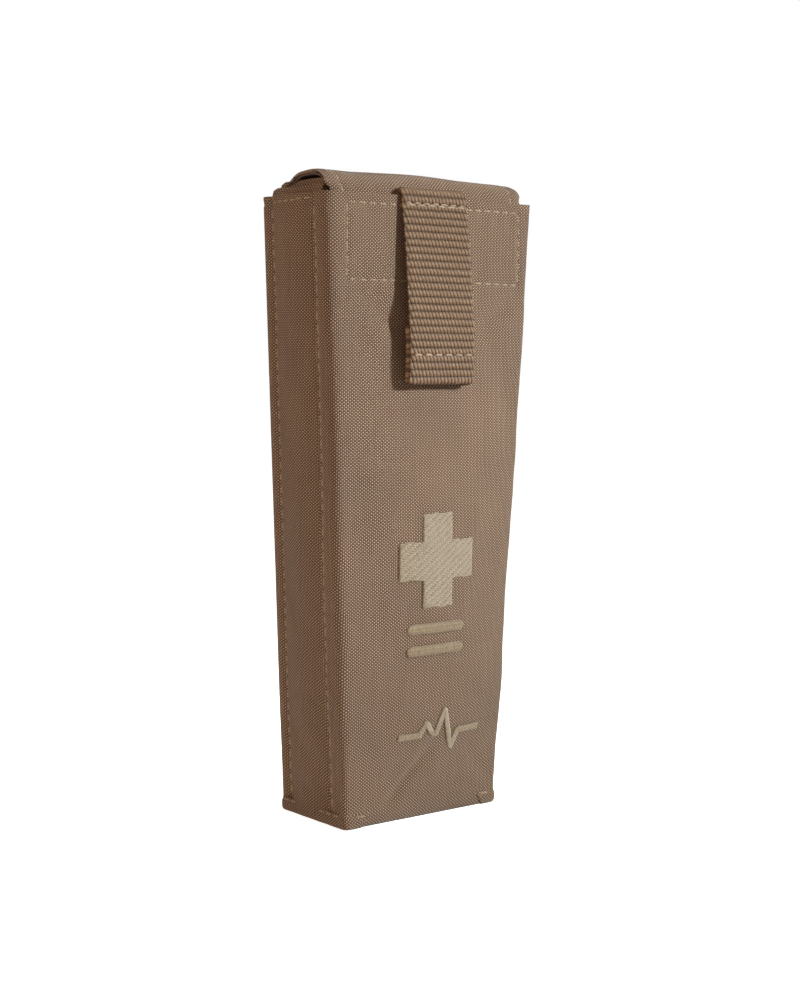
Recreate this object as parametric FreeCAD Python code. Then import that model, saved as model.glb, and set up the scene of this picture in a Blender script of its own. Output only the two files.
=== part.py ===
import FreeCAD, Part
import math
import os

# A belt pouch that holds one folded tourniquet, sewn from nylon cloth.
# Millimetres. +Z is up, the front faces -Y, and the origin is under the middle of the whole part.
# Depths in the functions are counted from the rear face of the back panel, and `save` shifts them.

# Pocket
height = 185.0
top_width = 77.0
base_width = 58.0
depth = 31.0
corner_radius = 3.0
front_return = 7.0
cloth = 1.2
base_cloth = 1.6

# Back panel: outer cloth, stiffening sheet and lining
back_cloth = 1.0
stiffener_cloth = 1.0
lining_cloth = 0.8
back_top = 184.0
stiffener_inset = 6.0
stiffener_base = 6.0
stiffener_top = 178.0
binding_width = 8.0
binding_cloth = 1.0
binding_base = 3.0
binding_top = 183.0

# Dust ears inside the gussets' tops
ear_cloth = 0.8
ear_rear = -6.0
ear_front = -24.6
ear_base = 162.0
ear_top = 188.2

# Hook and loop closure
tape_height = 25.0
loop_half_width = 32.0
loop_top = 183.5
loop_pile = 1.5
hook_half_width = 31.0
hook_height = 20.0
hook_pile = 1.2

# Lid, from its hinge line above the back panel to its front fold, then the leaf that tucks in.
# The leaf leans back from the loop tape, so that its tip passes the front panel as the lid opens.
lid_ply = 0.8
lid_half_width = 35.8
lid_hinge_depth = -1.4
lid_hinge_height = 185.2
fold_height = 190.4
fold_stand_off = 1.6
fold_gap = 3.8
leaf_length = 26.0
leaf_lean = 12.0
leaf_top_half_width = 35.4
leaf_tip_half_width = 33.8

# Pull tab of 25 mm webbing, folded over the front panel's top edge
webbing_width = 25.0
tab_cloth = 1.6
tab_length = 51.3
tab_fold_length = 17.0
tab_tilt = 6.4
tab_hinge_height = 182.0
tab_hinge_stand_off = 2.0
tab_anchor_gap = 1.4
tab_inner_ply = 0.8
tab_inner_base = 178.0

# Rows of belt webbing on the back, each sewn down at both sides of one 38 mm column
row_cloth = 1.4
row_gap = 0.7
row_half_length = 26.0
column_half_width = 19.0
row_ramp = 3.0
row_heights = {"upper": 150.0, "middle": 100.0, "lower": 50.0}

# Strap behind the rows, with its press stud
strap_stand_off = 2.5
strap_hinge_height = 168.6
strap_base = 10.0
strap_fold_length = 28.0
anchor_gap = 1.6
anchor_sewn_base = 176.0
anchor_top = 182.0
snap_height = 22.0
stud_base_radius = 5.0
stud_base_height = 0.8
stud_head_radius = 2.6
stud_head_height = 2.1
post_radius = 1.5
post_flange_radius = 5.5
post_flange_height = 0.8
post_end = 1.5
socket_radius = 6.2
socket_bore = 3.0
socket_base = 1.0
cap_radius = 7.3
cap_height = 1.4
cap_edge = 0.6
barrel_radius = 2.0

# Embroidery on the front
thread_height = 0.6
cross_size = 28.0
cross_arm = 11.0
cross_height = 79.0
bar_width = 21.0
bar_height = 3.4
bar_heights = (52.1, 58.7)
pulse_height = 27.2
pulse_stroke = 2.0
pulse_line = (
    (-12.0, -1.0), (-4.5, -1.0), (-2.0, 2.5), (0.5, -1.0), (2.0, -1.0),
    (5.0, 6.0), (8.0, -6.0), (10.5, -1.0), (19.0, -1.0),
)

# Drain eyelet in the base
drain_bore = 2.5
drain_barrel = 3.3
drain_flange = 5.4
drain_flange_height = 0.5
drain_recess = 0.6
drain_recess_gap = 0.2
drain_washer_height = 0.6
drain_lip = 4.2
drain_lip_height = 0.5

front_face = -depth
front_inner = cloth - depth
lining_face = -(back_cloth + stiffener_cloth + lining_cloth)
loop_face = front_inner + loop_pile
fold_depth = loop_face + fold_stand_off
tab_hinge_depth = front_face - tab_hinge_stand_off
strap_outer = strap_stand_off + row_cloth
strap_fold_outer = strap_outer + row_cloth
front_most = (tab_hinge_depth - tab_length * math.sin(math.radians(tab_tilt))
              - tab_cloth / 2 * math.cos(math.radians(tab_tilt)))
rear_most = strap_fold_outer + cap_height
origin_depth = (front_most + rear_most) / 2
drain_depth = -depth / 2

UP = FreeCAD.Vector(0, 0, 1)
BACK = FreeCAD.Vector(0, 1, 0)
RIGHT = FreeCAD.Vector(1, 0, 0)


def save(name, shape):
    """Write one node, moved so that the origin is under the middle of the part."""
    placed = shape.copy()
    placed.translate(FreeCAD.Vector(0, -origin_depth, 0))
    placed.exportStep("parts/" + name + ".step")
    print(name, len(placed.Solids), round(placed.Volume, 1), placed.isValid())


def half_width(z):
    """Half of the pocket's outer width at a height."""
    return (base_width + (top_width - base_width) * z / height) / 2


def box(x0, x1, y0, y1, z0, z1):
    """A box between two corners."""
    return Part.makeBox(x1 - x0, y1 - y0, z1 - z0, FreeCAD.Vector(x0, y0, z0))


def prism(points, along):
    """A closed flat outline pushed along a vector."""
    outline = Part.makePolygon(list(points) + [points[0]])
    return Part.Face(outline).extrude(along)


def disc(x, y, z, radius, length, direction=BACK):
    """A short cylinder from a point along a direction."""
    return Part.makeCylinder(radius, length, FreeCAD.Vector(x, y, z), direction)


def upright_sheet(inset, y0, y1, z0, z1):
    """A sheet across the pocket whose sides follow the taper, an inset away."""
    outline = [
        FreeCAD.Vector(-half_width(z0) + inset, y0, z0),
        FreeCAD.Vector(half_width(z0) - inset, y0, z0),
        FreeCAD.Vector(half_width(z1) - inset, y0, z1),
        FreeCAD.Vector(-half_width(z1) + inset, y0, z1),
    ]
    return prism(outline, BACK * (y1 - y0))


def side_sheet(side, outer_inset, inner_inset, y0, y1, z0, z1):
    """A sheet along one side of the pocket, leaning with the taper."""
    outline = [
        FreeCAD.Vector(side * (half_width(z0) - outer_inset), y0, z0),
        FreeCAD.Vector(side * (half_width(z0) - inner_inset), y0, z0),
        FreeCAD.Vector(side * (half_width(z1) - inner_inset), y0, z1),
        FreeCAD.Vector(side * (half_width(z1) - outer_inset), y0, z1),
    ]
    return prism(outline, BACK * (y1 - y0))


def corner(centre_x, centre_y, z, radius, side, outwards=True):
    """A quarter circle from the side of the pocket to its front, or back again."""
    turns = (180, 225, 270) if side < 0 else (270, 315, 360)
    if not outwards:
        turns = turns[::-1]
    ends = [
        FreeCAD.Vector(centre_x + radius * math.cos(math.radians(turn)),
                       centre_y + radius * math.sin(math.radians(turn)), z)
        for turn in turns
    ]
    return Part.Arc(*ends).toShape()


def front_outline(z):
    """The front panel in plan: a face, two round corners and two short returns."""
    outer = half_width(z)
    inner = outer - cloth
    bend = outer - corner_radius
    start = front_face + front_return
    centre = front_face + corner_radius
    inner_radius = corner_radius - cloth

    def run(x0, y0, x1, y1):
        return Part.LineSegment(FreeCAD.Vector(x0, y0, z), FreeCAD.Vector(x1, y1, z)).toShape()

    return Part.Wire([
        run(-outer, start, -outer, centre),
        corner(-bend, centre, z, corner_radius, -1),
        run(-bend, front_face, bend, front_face),
        corner(bend, centre, z, corner_radius, 1),
        run(outer, centre, outer, start),
        run(outer, start, inner, start),
        run(inner, start, inner, centre),
        corner(bend, centre, z, inner_radius, 1, outwards=False),
        run(bend, front_inner, -bend, front_inner),
        corner(-bend, centre, z, inner_radius, -1, outwards=False),
        run(-inner, centre, -inner, start),
        run(-inner, start, -outer, start),
    ])


def make_front_panel():
    """Front cloth, wrapped round both front corners to its seams."""
    return Part.makeLoft([front_outline(base_cloth), front_outline(height)], True, True)


def make_bottom_panel():
    """Base cloth with a recessed hole for the drain eyelet."""
    outer = half_width(0)
    plate = box(-outer, outer, front_face, 0, 0, base_cloth)
    front_edges = [
        edge for edge in plate.Edges
        if edge.BoundBox.ZLength > base_cloth / 2 and edge.BoundBox.YMax < front_face + cloth
    ]
    plate = plate.makeFillet(corner_radius, front_edges)
    recess = disc(0, drain_depth, 0, drain_flange + drain_recess_gap, drain_recess, UP)
    hole = disc(0, drain_depth, 0, drain_barrel, base_cloth, UP)
    return plate.cut(recess).cut(hole)


def make_back_layers():
    """Back cloth, stiffener and lining, pierced for the press stud's post."""
    stiffener_face = -(back_cloth + stiffener_cloth)
    layers = {
        "back_panel": upright_sheet(cloth, -back_cloth, 0, base_cloth, back_top),
        "back_stiffener": upright_sheet(stiffener_inset, stiffener_face, -back_cloth,
                                        stiffener_base, stiffener_top),
        "back_lining": upright_sheet(cloth, lining_face, stiffener_face, base_cloth, back_top),
    }
    hole = disc(0, lining_face, snap_height, post_radius, -lining_face)
    return {name: layer.cut(hole) for name, layer in layers.items()}


def make_side_pieces(side):
    """One side's gusset, dust ear and seam binding."""
    return {
        "gusset": side_sheet(side, 0, cloth, front_face + front_return, 0, base_cloth, height),
        "dust_ear": side_sheet(side, cloth, cloth + ear_cloth, ear_front, ear_rear,
                               ear_base, ear_top),
        "seam_binding": side_sheet(side, cloth, cloth + binding_width,
                                   lining_face - binding_cloth, lining_face,
                                   binding_base, binding_top),
    }


def make_tab_anchor():
    """The pull tab's sewn end: down the front, over the edge and behind the hem."""
    half = webbing_width / 2
    crest = height + tab_cloth
    front_ply = box(-half, half, front_face - tab_cloth, front_face,
                    tab_hinge_height + tab_anchor_gap, crest)
    crown = box(-half, half, front_face, front_inner + tab_inner_ply, height, crest)
    inner_ply = box(-half, half, front_inner, front_inner + tab_inner_ply,
                    tab_inner_base, height)
    return front_ply.fuse([crown, inner_ply]).removeSplitter()


def make_loop_tape(tab_anchor):
    """Loop tape sewn inside the front panel, over the pull tab's inner end."""
    tape = box(-loop_half_width, loop_half_width, front_inner, loop_face,
               loop_top - tape_height, loop_top)
    return tape.cut(tab_anchor)


def make_pull_tab():
    """The tab's hanging ply and its turned-back end, leaning off the front."""
    half = webbing_width / 2
    ply_front = tab_hinge_depth - tab_cloth / 2
    ply_rear = tab_hinge_depth + tab_cloth / 2
    tip = tab_hinge_height - tab_length
    ply = box(-half, half, ply_front, ply_rear, tip, tab_hinge_height)
    head = disc(-half, tab_hinge_depth, tab_hinge_height, tab_cloth / 2, webbing_width, RIGHT)
    fold = box(-half, half, ply_rear, ply_rear + tab_cloth, tip, tip + tab_fold_length)
    pieces = {"pull_tab": ply.fuse(head).removeSplitter(), "pull_tab_fold": fold}
    hinge = FreeCAD.Vector(0, tab_hinge_depth, tab_hinge_height)
    for piece in pieces.values():
        piece.rotate(hinge, RIGHT, -tab_tilt)
    return pieces


def flap_ply(length, near_half, far_half, outer_side):
    """One ply of a flap along +Y from a hinge line at the origin, round at the hinge."""
    face = lid_ply * outer_side
    outline = [
        FreeCAD.Vector(-near_half, 0, 0),
        FreeCAD.Vector(near_half, 0, 0),
        FreeCAD.Vector(far_half, length, 0),
        FreeCAD.Vector(-far_half, length, 0),
    ]
    sheet = prism(outline, UP * face)
    head = disc(-near_half, 0, 0, lid_ply, 2 * near_half, RIGHT)
    half_space = box(-near_half, near_half, -lid_ply, 0, min(face, 0), max(face, 0))
    return sheet.fuse(head.common(half_space)).removeSplitter()


def stand_flap(ply, depth_at, height_at, pitch):
    """Turn a ply from +Y to a pitch above the horizontal, pointing forwards, and place it."""
    ply.rotate(FreeCAD.Vector(0, 0, 0), UP, 180)
    ply.rotate(FreeCAD.Vector(0, 0, 0), RIGHT, -pitch)
    ply.translate(FreeCAD.Vector(0, depth_at, height_at))
    return ply


def make_lid():
    """Two plies from the hinge line at the back to just short of the front fold."""
    rise = fold_height - lid_hinge_height
    reach = lid_hinge_depth - fold_depth
    pitch = math.degrees(math.atan2(rise, reach))
    length = math.hypot(rise, reach) - fold_gap
    plies = {}
    for name, side in (("lid_outer", 1), ("lid_lining", -1)):
        ply = flap_ply(length, lid_half_width, lid_half_width, side)
        plies[name] = stand_flap(ply, lid_hinge_depth, lid_hinge_height, pitch)
    return plies


def make_leaf():
    """The lid's end that tucks behind the front panel, with its hook tape."""
    plies = {}
    for name, side in (("leaf_outer", 1), ("leaf_lining", -1)):
        ply = flap_ply(leaf_length, leaf_top_half_width, leaf_tip_half_width, side)
        plies[name] = stand_flap(ply, fold_depth, fold_height, -90 - leaf_lean)
    tape_end = leaf_length - lid_ply
    tape = box(-hook_half_width, hook_half_width, tape_end - hook_height, tape_end,
               lid_ply, lid_ply + hook_pile)
    plies["hook_tape"] = stand_flap(tape, fold_depth, fold_height, -90 - leaf_lean)
    return plies


def make_row(centre_height):
    """One row of webbing, sewn down beside the column and raised across it."""
    low = column_half_width + row_ramp / 2
    high = column_half_width - row_ramp / 2
    outer = [(-row_half_length, row_cloth), (-low, row_cloth), (-high, row_gap + row_cloth),
             (high, row_gap + row_cloth), (low, row_cloth), (row_half_length, row_cloth)]
    inner = [(row_half_length, 0), (low, 0), (high, row_gap), (-high, row_gap), (-low, 0),
             (-row_half_length, 0)]
    base = centre_height - webbing_width / 2
    return prism([FreeCAD.Vector(x, y, base) for x, y in outer + inner], UP * webbing_width)


def make_strap_anchor():
    """The strap's sewn root, which steps out from the back panel to the hanging part."""
    end = strap_hinge_height + anchor_gap
    section = [(0, anchor_top), (row_cloth, anchor_top), (row_cloth, anchor_sewn_base),
               (strap_outer, end), (strap_stand_off, end), (0, anchor_sewn_base)]
    outline = [FreeCAD.Vector(-webbing_width / 2, y, z) for y, z in section]
    return prism(outline, RIGHT * webbing_width)


def make_strap():
    """The hanging strap, its turned end, and the press stud's cap and socket."""
    half = webbing_width / 2
    middle = strap_stand_off + row_cloth / 2
    strap = box(-half, half, strap_stand_off, strap_outer, strap_base, strap_hinge_height)
    head = disc(-half, middle, strap_hinge_height, row_cloth / 2, webbing_width, RIGHT)
    fold = box(-half, half, strap_outer, strap_fold_outer, strap_base,
               strap_base + strap_fold_length)
    barrel_length = strap_fold_outer - strap_stand_off
    barrel = disc(0, strap_stand_off, snap_height, barrel_radius, barrel_length)
    dome = disc(0, strap_fold_outer, snap_height, cap_radius, cap_height)
    rim = [edge for edge in dome.Edges if edge.BoundBox.YMin > strap_fold_outer + cap_height / 2
           and edge.BoundBox.XLength > cap_radius]
    dome = dome.makeFillet(cap_edge, rim)
    ring = disc(0, socket_base, snap_height, socket_radius, strap_stand_off - socket_base)
    ring = ring.cut(disc(0, socket_base, snap_height, socket_bore, strap_stand_off))
    return {
        "strap_webbing": strap.fuse(head).removeSplitter().cut(barrel),
        "strap_end_fold": fold.cut(barrel),
        "snap_cap": dome.fuse(barrel).removeSplitter(),
        "snap_socket": ring,
    }


def make_stud():
    """The press stud's male half: a stud outside, riveted on a post from inside."""
    base = disc(0, 0, snap_height, stud_base_radius, stud_base_height)
    head = disc(0, 0, snap_height, stud_head_radius, stud_head_height)
    shank = disc(0, lining_face, snap_height, post_radius, post_end - lining_face)
    flange = disc(0, lining_face - post_flange_height, snap_height, post_flange_radius,
                  post_flange_height)
    return {
        "snap_stud": base.fuse(head).removeSplitter().cut(shank),
        "snap_post": flange.fuse(shank).removeSplitter(),
    }


def make_cross():
    """Embroidered first aid cross."""
    half = cross_size / 2
    arm = cross_arm / 2
    level = box(-half, half, front_face - thread_height, front_face,
                cross_height - arm, cross_height + arm)
    upright = box(-arm, arm, front_face - thread_height, front_face,
                  cross_height - half, cross_height + half)
    return level.fuse(upright).removeSplitter()


def make_bars():
    """Two plain embroidered bars with round ends."""
    bars = []
    reach = (bar_width - bar_height) / 2
    for middle in bar_heights:
        bar = box(-reach, reach, front_face - thread_height, front_face,
                  middle - bar_height / 2, middle + bar_height / 2)
        ends = [disc(x, front_face - thread_height, middle, bar_height / 2, thread_height)
                for x in (-reach, reach)]
        bars.append(bar.fuse(ends).removeSplitter())
    return Part.makeCompound(bars)


def make_pulse():
    """Embroidered zigzag line of even width."""
    strokes = []
    for (x0, z0), (x1, z1) in zip(pulse_line, pulse_line[1:]):
        run = math.hypot(x1 - x0, z1 - z0)
        stroke = box(0, run, front_face - thread_height, front_face,
                     -pulse_stroke / 2, pulse_stroke / 2)
        turn = math.degrees(math.atan2(z1 - z0, x1 - x0))
        stroke.rotate(FreeCAD.Vector(0, 0, 0), BACK, -turn)
        stroke.translate(FreeCAD.Vector(x0, 0, pulse_height + z0))
        strokes.append(stroke)
    for x, z in pulse_line:
        strokes.append(disc(x, front_face - thread_height, pulse_height + z,
                            pulse_stroke / 2, thread_height))
    return strokes[0].fuse(strokes[1:]).removeSplitter()


def make_drain():
    """Eyelet and washer that line the drain hole in the base."""
    sink = drain_recess - drain_flange_height
    washer_top = base_cloth + drain_washer_height
    flange = disc(0, drain_depth, sink, drain_flange, drain_flange_height, UP)
    barrel = disc(0, drain_depth, sink, drain_barrel, washer_top - sink, UP)
    lip = disc(0, drain_depth, washer_top, drain_lip, drain_lip_height, UP)
    bore = disc(0, drain_depth, 0, drain_bore, height, UP)
    washer = disc(0, drain_depth, base_cloth, drain_flange, drain_washer_height, UP)
    return {
        "drain_eyelet": flange.fuse([barrel, lip]).removeSplitter().cut(bore),
        "drain_washer": washer.cut(barrel),
    }


def main():
    os.makedirs("parts", exist_ok=True)
    save("front_panel", make_front_panel())
    save("bottom_panel", make_bottom_panel())
    groups = [make_back_layers(), make_pull_tab(), make_lid(), make_leaf(), make_strap(),
              make_stud(), make_drain()]
    for group in groups:
        for name, shape in group.items():
            save(name, shape)
    for side_name, side in (("left", -1), ("right", 1)):
        for name, shape in make_side_pieces(side).items():
            save(side_name + "_" + name, shape)
    tab_anchor = make_tab_anchor()
    save("tab_anchor", tab_anchor)
    save("loop_tape", make_loop_tape(tab_anchor))
    for name, centre_height in row_heights.items():
        save("molle_row_" + name, make_row(centre_height))
    save("strap_anchor", make_strap_anchor())
    save("cross_embroidery", make_cross())
    save("bar_embroidery", make_bars())
    save("pulse_embroidery", make_pulse())
    print("origin depth", round(origin_depth, 3), "front", round(front_most, 3),
          "rear", round(rear_most, 3), "fold depth", round(fold_depth, 3))


main()
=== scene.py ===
import bpy
import math
import random
from mathutils import Matrix, Vector, noise


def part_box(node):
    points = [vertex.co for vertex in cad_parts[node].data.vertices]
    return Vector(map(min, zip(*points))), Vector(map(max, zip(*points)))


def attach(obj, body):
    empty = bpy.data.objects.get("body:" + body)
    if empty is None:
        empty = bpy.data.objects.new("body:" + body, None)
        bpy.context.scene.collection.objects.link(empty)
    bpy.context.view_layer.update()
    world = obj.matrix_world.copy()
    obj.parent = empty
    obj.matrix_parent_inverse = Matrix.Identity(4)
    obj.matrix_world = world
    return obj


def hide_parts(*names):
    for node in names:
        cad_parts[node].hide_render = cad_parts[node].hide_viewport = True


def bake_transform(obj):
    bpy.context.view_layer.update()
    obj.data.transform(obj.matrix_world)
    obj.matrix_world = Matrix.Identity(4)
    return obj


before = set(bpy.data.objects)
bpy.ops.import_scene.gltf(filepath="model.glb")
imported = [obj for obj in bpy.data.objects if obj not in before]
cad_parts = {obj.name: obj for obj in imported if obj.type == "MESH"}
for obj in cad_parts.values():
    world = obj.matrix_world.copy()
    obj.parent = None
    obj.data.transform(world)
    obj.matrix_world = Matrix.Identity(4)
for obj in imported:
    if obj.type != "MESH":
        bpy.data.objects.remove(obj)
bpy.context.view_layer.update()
random.seed(11)
print("frame loaded,", len(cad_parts), "nodes")

# Lengths below are millimetres. Depths count from the rear face of the back panel, front is -y.
mm = 0.001
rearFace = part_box("back_panel")[1].y
pouch = {
    "height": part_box("left_gusset")[1].z / mm,
    "topHalf": -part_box("left_gusset")[0].x / mm,
    "baseHalf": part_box("bottom_panel")[1].x / mm,
    "depth": (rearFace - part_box("front_panel")[0].y) / mm,
    "cornerLow": 1.6, "cornerHigh": {-1: 4.0, 1: 1.6},   # the right corner is pressed sharp
    "fuller": {-1: 0.3, 1: 0.2},            # how far the filled sides stand out
    "skew": 1.4,                            # the soft front sits a little to the right
    "seamReturn": 7.4,                      # the front cloth's side edges, behind its face
}


def place(x, y, z):
    x += pouch["skew"] * max(0.0, -y) / pouch["depth"]
    return Vector((x * mm, rearFace + y * mm, z * mm))


def taperHalf(z):
    return pouch["baseHalf"] + (pouch["topHalf"] - pouch["baseHalf"]) * z / pouch["height"]


def clamp(value, low=0.0, high=1.0):
    return max(low, min(high, value))


def cornerAt(side, z):
    high = pouch["cornerHigh"][side]
    return pouch["cornerLow"] + (high - pouch["cornerLow"]) * clamp(z / pouch["height"])


def halfAt(side, z):
    return taperHalf(z) + pouch["fuller"][side] * easeStep(z, 4, 40)


def easeStep(value, start, end):
    t = clamp((value - start) / (end - start))
    return t * t * (3 - 2 * t)


def hump(distance, width):
    return math.exp(-(distance / width) ** 2)


def wave(a, b, size, seed=0.0):
    return noise.noise(Vector((a / size, b / size, seed)))


def deselectAll():
    if bpy.context.object and bpy.context.object.mode != "OBJECT":
        bpy.ops.object.mode_set(mode="OBJECT")
    bpy.ops.object.select_all(action="DESELECT")


def pick(piece):
    deselectAll()
    piece.select_set(True)
    bpy.context.view_layer.objects.active = piece


def applyModifiers(piece):
    pick(piece)
    for modifier in list(piece.modifiers):
        bpy.ops.object.modifier_apply(modifier=modifier.name)


def settle(piece, material, smoothAngle=50):
    # place goes into the mesh, then smooth shading and the finish
    pick(piece)
    bpy.ops.object.transform_apply(location=True, rotation=True, scale=True)
    bpy.ops.object.shade_smooth_by_angle(angle=math.radians(smoothAngle))
    piece.data.materials.clear()
    piece.data.materials.append(material)
    return piece


def mergePieces(name, pieces):
    deselectAll()
    for piece in pieces:
        piece.select_set(True)
    bpy.context.view_layer.objects.active = pieces[0]
    bpy.ops.object.join()
    pieces[0].name = name
    return pieces[0]


# A sheet of cloth. spread(u, v) gives the distances a and b along the cloth, and surface(a, b)
# the point there. Across times up points to the outside. The weave follows a and b by the UV map.
def clothSheet(name, columns, rows, spread, surface, thickness, material, offset=-1.0, edge=0.3,
               keep=None, evenWall=True):
    deselectAll()
    bpy.ops.mesh.primitive_grid_add(x_subdivisions=columns, y_subdivisions=rows, size=1)
    piece = bpy.context.object
    piece.name = name
    flat = []
    for vertex in piece.data.vertices:
        a, b = spread(vertex.co.x + 0.5, vertex.co.y + 0.5)
        vertex.co = place(*surface(a, b))
        flat.append((a * mm, b * mm))
    uvLayer = piece.data.uv_layers[0]
    for loop in piece.data.loops:
        uvLayer.data[loop.index].uv = flat[loop.vertex_index]
    if keep:
        cutFaces(piece, keep)
    wall = piece.modifiers.new("wall", "SOLIDIFY")
    wall.thickness = thickness * mm
    wall.offset = offset
    wall.use_even_offset = evenWall
    if edge:
        rim = piece.modifiers.new("rim", "BEVEL")
        rim.width = edge * mm
        rim.segments = 2
        rim.limit_method = "ANGLE"
        rim.angle_limit = math.radians(60)
    applyModifiers(piece)
    return settle(piece, material)


def cutFaces(piece, keep):
    # keep(point) says which faces stay, by the middle of each
    pick(piece)
    bpy.ops.object.mode_set(mode="EDIT")
    bpy.ops.mesh.select_mode(type="FACE")
    bpy.ops.mesh.select_all(action="DESELECT")           # a new grid is selected all over
    bpy.ops.object.mode_set(mode="OBJECT")
    for face in piece.data.polygons:
        face.select = not keep(face.center)
    bpy.ops.object.mode_set(mode="EDIT")
    bpy.ops.mesh.delete(type="FACE")
    bpy.ops.object.mode_set(mode="OBJECT")


def pointAndNormal(surface, a, b):
    step = 0.05
    here = Vector(surface(a, b))
    across = Vector(surface(a + step, b)) - here
    up = Vector(surface(a, b + step)) - here
    return here, across.cross(up).normalized()


# One smooth line through a few points, cut into equal steps
def smoothLine(corners, count):
    ends = [2 * Vector(corners[0]) - Vector(corners[1])]
    ends += [Vector(c) for c in corners]
    ends += [2 * Vector(corners[-1]) - Vector(corners[-2])]
    fine = []
    for i in range(1, len(ends) - 2):
        p0, p1, p2, p3 = ends[i - 1:i + 3]
        for k in range(24):
            t = k / 24
            fine.append(0.5 * ((2 * p1) + (p2 - p0) * t + (2 * p0 - 5 * p1 + 4 * p2 - p3) * t * t
                               + (3 * p1 - 3 * p2 + p3 - p0) * t ** 3))
    fine.append(ends[-2])
    runs = [0.0]
    for p, q in zip(fine, fine[1:]):
        runs.append(runs[-1] + (q - p).length)
    line, k = [], 0
    for i in range(count + 1):
        want = runs[-1] * i / count
        while k < len(runs) - 2 and runs[k + 1] < want:
            k += 1
        t = (want - runs[k]) / max(runs[k + 1] - runs[k], 1e-9)
        line.append(fine[k].lerp(fine[k + 1], clamp(t)))
    return line, runs[-1]


def along(line, length, distance):
    t = clamp(distance / length) * (len(line) - 1)
    k = min(int(t), len(line) - 2)
    return line[k].lerp(line[k + 1], t - k)


print("helpers ready")


def toLinear(hexColour):
    channels = [int(hexColour[i:i + 2], 16) / 255 for i in (1, 3, 5)]
    return [c / 12.92 if c <= 0.04045 else ((c + 0.055) / 1.055) ** 2.4 for c in channels] + [1.0]


def addNode(tree, kind, values=None, links=None, **settings):
    node = tree.nodes.new(kind)
    for key, value in settings.items():
        setattr(node, key, value)
    for key, value in (values or {}).items():
        node.inputs[key].default_value = value
    for key, source in (links or {}).items():
        tree.links.new(source, node.inputs[key])
    return node


def newMaterial(name, shader):
    material = bpy.data.materials.new(name)
    material.use_nodes = True
    tree = material.node_tree
    tree.nodes.clear()
    surface = addNode(tree, "ShaderNodeBsdfPrincipled", shader)
    addNode(tree, "ShaderNodeOutputMaterial", links={"Surface": surface.outputs[0]})
    return material, tree, surface


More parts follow.
